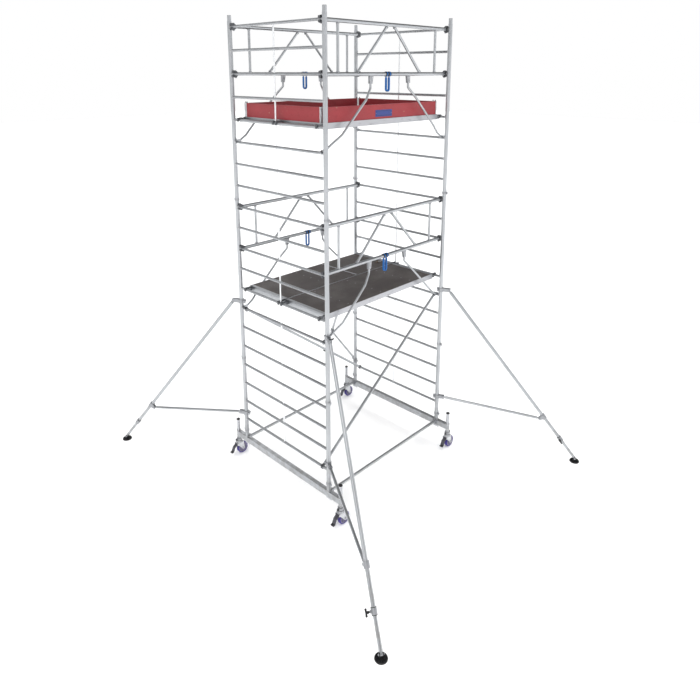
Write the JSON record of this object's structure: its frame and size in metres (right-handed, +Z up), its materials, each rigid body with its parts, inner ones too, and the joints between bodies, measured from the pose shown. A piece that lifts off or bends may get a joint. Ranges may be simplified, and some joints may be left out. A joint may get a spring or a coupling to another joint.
{
  "type": "mobile tower scaffold",
  "caption": "Rolling aluminium access tower with ladder frames, two decks, guard rails, toe boards, castors and splayed outriggers.",
  "frame": {"origin": "on the floor under the centre of the bay, halfway between the four posts", "axes": "+Z up, X along the long bay from the left to the right ladder frame, Y across the ladder frames from front to rear"},
  "size_m": [3.8744, 4.7114, 5.46],
  "materials": {
    "aluminium": "satin extruded",
    "deck_ply": "dark phenolic film",
    "toe_board": "red coated board",
    "loop_plastic": "blue moulded",
    "wheel_tread": "violet blue polyurethane tread",
    "black_plastic": "black moulded",
    "zinc_steel": "zinc plated",
    "pedal_steel": "dark painted",
    "cast_hooks": "as cast"
  },
  "bodies": {
    "tower": {"base_rails": "aluminium", "chassis_beam_left": "aluminium", "chassis_beam_right": "aluminium", "deck_panels_lower": "deck_ply", "deck_panels_upper": "deck_ply", "diagonal_braces": "aluminium", "frame_low_left": "aluminium", "frame_low_right": "aluminium", "frame_mid_left": "aluminium", "frame_mid_right": "aluminium", "frame_top_left": "aluminium", "frame_top_right": "aluminium", "guard_rail_lower_front": "aluminium", "guard_rail_lower_rear": "aluminium", "guard_rail_upper_front": "aluminium", "guard_rail_upper_rear": "aluminium", "platform_frame_lower_front": "aluminium", "platform_frame_lower_rear": "aluminium", "platform_frame_upper_front": "aluminium", "platform_frame_upper_rear": "aluminium", "platform_hooks": "cast_hooks", "toe_boards": "toe_board"},
    "castor_stem_front_left": {"castor_stem_front_left": "zinc_steel"},
    "castor_fork_front_left": {"castor_fork_front_left": "zinc_steel"},
    "castor_wheel_front_left": {"castor_wheel_front_left": "wheel_tread"},
    "brake_pedal_front_left": {"brake_pedal_front_left": "pedal_steel"},
    "outrigger_arm_front_left": {"outrigger_arm_front_left": "aluminium"},
    "outrigger_leg_front_left": {"outrigger_leg_front_left": "aluminium"},
    "outrigger_foot_front_left": {"outrigger_foot_front_left": "black_plastic"},
    "clamp_screw_front_left": {"clamp_screw_front_left": "black_plastic"},
    "castor_stem_front_right": {"castor_stem_front_right": "zinc_steel"},
    "castor_fork_front_right": {"castor_fork_front_right": "zinc_steel"},
    "castor_wheel_front_right": {"castor_wheel_front_right": "wheel_tread"},
    "brake_pedal_front_right": {"brake_pedal_front_right": "pedal_steel"},
    "outrigger_arm_front_right": {"outrigger_arm_front_right": "aluminium"},
    "outrigger_leg_front_right": {"outrigger_leg_front_right": "aluminium"},
    "outrigger_foot_front_right": {"outrigger_foot_front_right": "black_plastic"},
    "clamp_screw_front_right": {"clamp_screw_front_right": "black_plastic"},
    "castor_stem_rear_right": {"castor_stem_rear_right": "zinc_steel"},
    "castor_fork_rear_right": {"castor_fork_rear_right": "zinc_steel"},
    "castor_wheel_rear_right": {"castor_wheel_rear_right": "wheel_tread"},
    "brake_pedal_rear_right": {"brake_pedal_rear_right": "pedal_steel"},
    "outrigger_arm_rear_right": {"outrigger_arm_rear_right": "aluminium"},
    "outrigger_leg_rear_right": {"outrigger_leg_rear_right": "aluminium"},
    "outrigger_foot_rear_right": {"outrigger_foot_rear_right": "black_plastic"},
    "clamp_screw_rear_right": {"clamp_screw_rear_right": "black_plastic"},
    "castor_stem_rear_left": {"castor_stem_rear_left": "zinc_steel"},
    "castor_fork_rear_left": {"castor_fork_rear_left": "zinc_steel"},
    "castor_wheel_rear_left": {"castor_wheel_rear_left": "wheel_tread"},
    "brake_pedal_rear_left": {"brake_pedal_rear_left": "pedal_steel"},
    "outrigger_arm_rear_left": {"outrigger_arm_rear_left": "aluminium"},
    "outrigger_leg_rear_left": {"outrigger_leg_rear_left": "aluminium"},
    "outrigger_foot_rear_left": {"outrigger_foot_rear_left": "black_plastic"},
    "clamp_screw_rear_left": {"clamp_screw_rear_left": "black_plastic"},
    "hatch_lid_lower": {"hatch_lid_lower": "deck_ply"},
    "release_loop_lower_front": {"release_loop_lower_front": "loop_plastic"},
    "release_loop_lower_rear": {"release_loop_lower_rear": "loop_plastic"},
    "hatch_lid_upper": {"hatch_lid_upper": "deck_ply"},
    "release_loop_upper_front": {"release_loop_upper_front": "loop_plastic"},
    "release_loop_upper_rear": {"release_loop_upper_rear": "loop_plastic"}
  },
  "joints": [
    {"name": "jack_front_left", "type": "slide", "parent": "tower", "child": "castor_stem_front_left", "axis": [0, 0, -1], "range_m": [0, 0.135]},
    {"name": "swivel_front_left", "type": "hinge", "parent": "castor_stem_front_left", "child": "castor_fork_front_left", "pos_m": [-1, -0.935, 0.17], "axis": [0, 0, 1], "continuous": true},
    {"name": "wheel_front_left", "type": "hinge", "parent": "castor_fork_front_left", "child": "castor_wheel_front_left", "pos_m": [-0.96, -0.935, 0.075], "axis": [0, 1, 0], "continuous": true},
    {"name": "brake_front_left", "type": "hinge", "parent": "castor_fork_front_left", "child": "brake_pedal_front_left", "pos_m": [-1.044, -0.935, 0.148], "axis": [0, -1, 0], "range_deg": [0, 9]},
    {"name": "outrigger_swing_front_left", "type": "hinge", "parent": "tower", "child": "outrigger_arm_front_left", "pos_m": [-1, -0.75, 1.4], "axis": [0, 0, 1], "range_deg": [-40, 28]},
    {"name": "leg_slide_front_left", "type": "slide", "parent": "outrigger_arm_front_left", "child": "outrigger_leg_front_left", "axis": [-0.3064, -0.5394, -0.7843], "range_m": [-0.2, 0.3]},
    {"name": "foot_tilt_front_left", "type": "hinge", "parent": "outrigger_leg_front_left", "child": "outrigger_foot_front_left", "pos_m": [-1.87922, -2.2977, 0.046], "axis": [0.8695, -0.4939, 0], "range_deg": [-20, 20]},
    {"name": "screw_turn_front_left", "type": "hinge", "parent": "outrigger_arm_front_left", "child": "clamp_screw_front_left", "pos_m": [-1.78173, -2.12609, 0.29553], "axis": [-0.8695, 0.4939, 0], "range_deg": [-180, 180]},
    {"name": "jack_front_right", "type": "slide", "parent": "tower", "child": "castor_stem_front_right", "axis": [0, 0, -1], "range_m": [0, 0.135]},
    {"name": "swivel_front_right", "type": "hinge", "parent": "castor_stem_front_right", "child": "castor_fork_front_right", "pos_m": [1, -0.935, 0.17], "axis": [0, 0, 1], "continuous": true},
    {"name": "wheel_front_right", "type": "hinge", "parent": "castor_fork_front_right", "child": "castor_wheel_front_right", "pos_m": [1.04, -0.935, 0.075], "axis": [0, 1, 0], "continuous": true},
    {"name": "brake_front_right", "type": "hinge", "parent": "castor_fork_front_right", "child": "brake_pedal_front_right", "pos_m": [0.956, -0.935, 0.148], "axis": [0, -1, 0], "range_deg": [0, 9]},
    {"name": "outrigger_swing_front_right", "type": "hinge", "parent": "tower", "child": "outrigger_arm_front_right", "pos_m": [1, -0.75, 1.4], "axis": [0, 0, 1], "range_deg": [-28, 40]},
    {"name": "leg_slide_front_right", "type": "slide", "parent": "outrigger_arm_front_right", "child": "outrigger_leg_front_right", "axis": [0.3064, -0.5394, -0.7843], "range_m": [-0.2, 0.3]},
    {"name": "foot_tilt_front_right", "type": "hinge", "parent": "outrigger_leg_front_right", "child": "outrigger_foot_front_right", "pos_m": [1.87922, -2.2977, 0.046], "axis": [0.8695, 0.4939, 0], "range_deg": [-20, 20]},
    {"name": "screw_turn_front_right", "type": "hinge", "parent": "outrigger_arm_front_right", "child": "clamp_screw_front_right", "pos_m": [1.78173, -2.12609, 0.29553], "axis": [-0.8695, -0.4939, 0], "range_deg": [-180, 180]},
    {"name": "jack_rear_right", "type": "slide", "parent": "tower", "child": "castor_stem_rear_right", "axis": [0, 0, -1], "range_m": [0, 0.135]},
    {"name": "swivel_rear_right", "type": "hinge", "parent": "castor_stem_rear_right", "child": "castor_fork_rear_right", "pos_m": [1, 0.935, 0.17], "axis": [0, 0, 1], "continuous": true},
    {"name": "wheel_rear_right", "type": "hinge", "parent": "castor_fork_rear_right", "child": "castor_wheel_rear_right", "pos_m": [1.04, 0.935, 0.075], "axis": [0, 1, 0], "continuous": true},
    {"name": "brake_rear_right", "type": "hinge", "parent": "castor_fork_rear_right", "child": "brake_pedal_rear_right", "pos_m": [0.956, 0.935, 0.148], "axis": [0, -1, 0], "range_deg": [0, 9]},
    {"name": "outrigger_swing_rear_right", "type": "hinge", "parent": "tower", "child": "outrigger_arm_rear_right", "pos_m": [1, 0.75, 1.4], "axis": [0, 0, 1], "range_deg": [-40, 28]},
    {"name": "leg_slide_rear_right", "type": "slide", "parent": "outrigger_arm_rear_right", "child": "outrigger_leg_rear_right", "axis": [0.3064, 0.5394, -0.7843], "range_m": [-0.2, 0.3]},
    {"name": "foot_tilt_rear_right", "type": "hinge", "parent": "outrigger_leg_rear_right", "child": "outrigger_foot_rear_right", "pos_m": [1.87922, 2.2977, 0.046], "axis": [-0.8695, 0.4939, 0], "range_deg": [-20, 20]},
    {"name": "screw_turn_rear_right", "type": "hinge", "parent": "outrigger_arm_rear_right", "child": "clamp_screw_rear_right", "pos_m": [1.78173, 2.12609, 0.29553], "axis": [0.8695, -0.4939, 0], "range_deg": [-180, 180]},
    {"name": "jack_rear_left", "type": "slide", "parent": "tower", "child": "castor_stem_rear_left", "axis": [0, 0, -1], "range_m": [0, 0.135]},
    {"name": "swivel_rear_left", "type": "hinge", "parent": "castor_stem_rear_left", "child": "castor_fork_rear_left", "pos_m": [-1, 0.935, 0.17], "axis": [0, 0, 1], "continuous": true},
    {"name": "wheel_rear_left", "type": "hinge", "parent": "castor_fork_rear_left", "child": "castor_wheel_rear_left", "pos_m": [-0.96, 0.935, 0.075], "axis": [0, 1, 0], "continuous": true},
    {"name": "brake_rear_left", "type": "hinge", "parent": "castor_fork_rear_left", "child": "brake_pedal_rear_left", "pos_m": [-1.044, 0.935, 0.148], "axis": [0, -1, 0], "range_deg": [0, 9]},
    {"name": "outrigger_swing_rear_left", "type": "hinge", "parent": "tower", "child": "outrigger_arm_rear_left", "pos_m": [-1, 0.75, 1.4], "axis": [0, 0, 1], "range_deg": [-28, 40]},
    {"name": "leg_slide_rear_left", "type": "slide", "parent": "outrigger_arm_rear_left", "child": "outrigger_leg_rear_left", "axis": [-0.3064, 0.5394, -0.7843], "range_m": [-0.2, 0.3]},
    {"name": "foot_tilt_rear_left", "type": "hinge", "parent": "outrigger_leg_rear_left", "child": "outrigger_foot_rear_left", "pos_m": [-1.87922, 2.2977, 0.046], "axis": [-0.8695, -0.4939, 0], "range_deg": [-20, 20]},
    {"name": "screw_turn_rear_left", "type": "hinge", "parent": "outrigger_arm_rear_left", "child": "clamp_screw_rear_left", "pos_m": [-1.78173, 2.12609, 0.29553], "axis": [0.8695, 0.4939, 0], "range_deg": [-180, 180]},
    {"name": "hatch_lower", "type": "hinge", "parent": "tower", "child": "hatch_lid_lower", "pos_m": [0.83, 0.333, 2.38], "axis": [0, 1, 0], "range_deg": [0, 100]},
    {"name": "release_lower_front", "type": "hinge", "parent": "tower", "child": "release_loop_lower_front", "pos_m": [-0.04, -0.7, 2.84], "axis": [1, 0, 0], "range_deg": [-60, 60]},
    {"name": "release_lower_rear", "type": "hinge", "parent": "tower", "child": "release_loop_lower_rear", "pos_m": [0.04, 0.7, 2.84], "axis": [1, 0, 0], "range_deg": [-60, 60]},
    {"name": "hatch_upper", "type": "hinge", "parent": "tower", "child": "hatch_lid_upper", "pos_m": [-0.83, 0.333, 4.38], "axis": [0, -1, 0], "range_deg": [0, 100]},
    {"name": "release_upper_front", "type": "hinge", "parent": "tower", "child": "release_loop_upper_front", "pos_m": [-0.04, -0.7, 4.84], "axis": [1, 0, 0], "range_deg": [-60, 60]},
    {"name": "release_upper_rear", "type": "hinge", "parent": "tower", "child": "release_loop_upper_rear", "pos_m": [0.04, 0.7, 4.84], "axis": [1, 0, 0], "range_deg": [-60, 60]}
  ]
}
